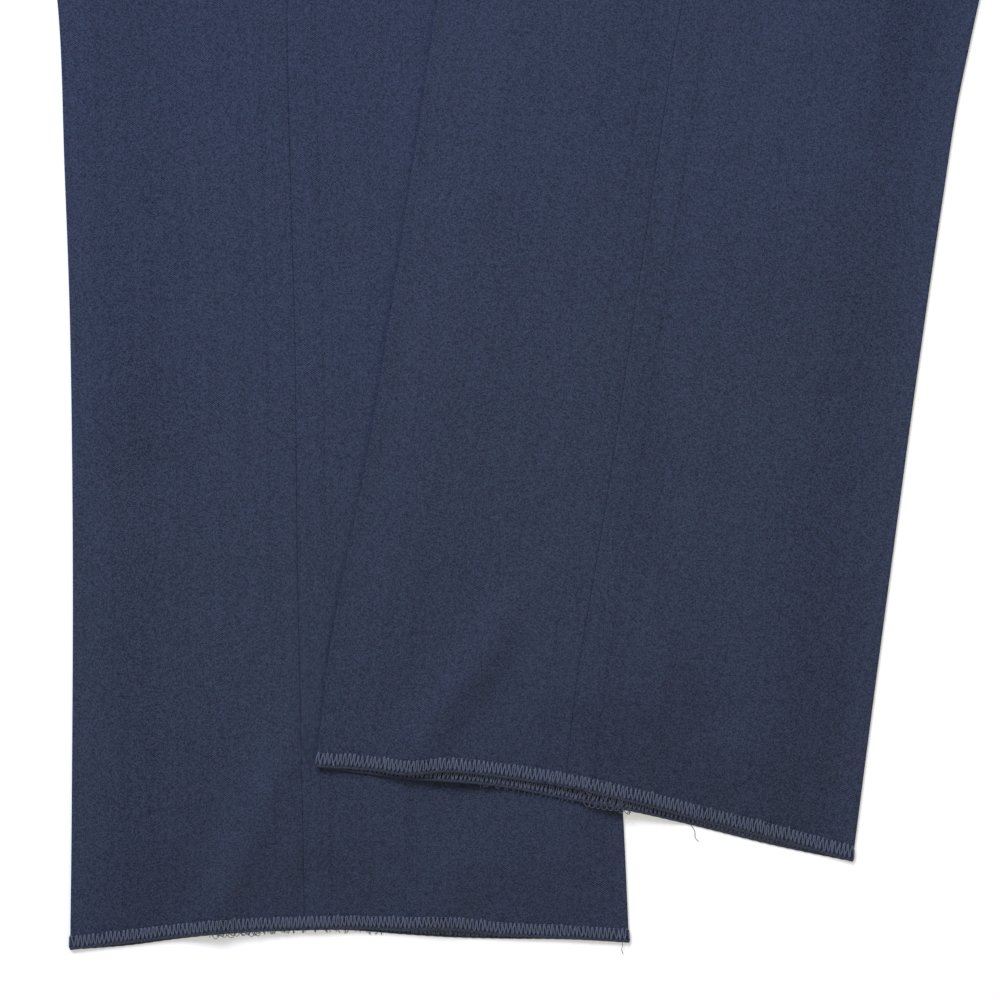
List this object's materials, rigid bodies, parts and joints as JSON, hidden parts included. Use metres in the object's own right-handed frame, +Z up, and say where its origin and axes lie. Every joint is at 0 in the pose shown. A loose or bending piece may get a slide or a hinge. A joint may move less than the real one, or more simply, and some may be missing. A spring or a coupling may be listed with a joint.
{
  "type": "tapered trousers",
  "caption": "Tapered dress trousers laid flat, front up, each lower leg folded on its pressed creases and one leg crossing the other, with raw overlocked hems.",
  "frame": {"origin": "middle of the garment's outline, on the surface that it lies on", "axes": "+Y from the hems to the waist, +X to the wearer's left, +Z up from the surface, out of the front of the garment"},
  "size_m": [0.5526, 1.1756, 0.0094],
  "materials": {
    "cloth": "navy worsted twill, matt with a soft sheen",
    "button": "dark navy, polished"
  },
  "bodies": {
    "root": {"right_front": "cloth", "right_back": "cloth", "left_front": "cloth", "left_back": "cloth", "waistband_right": "cloth", "waistband_left": "cloth", "button": "button"}
  },
  "joints": []
}
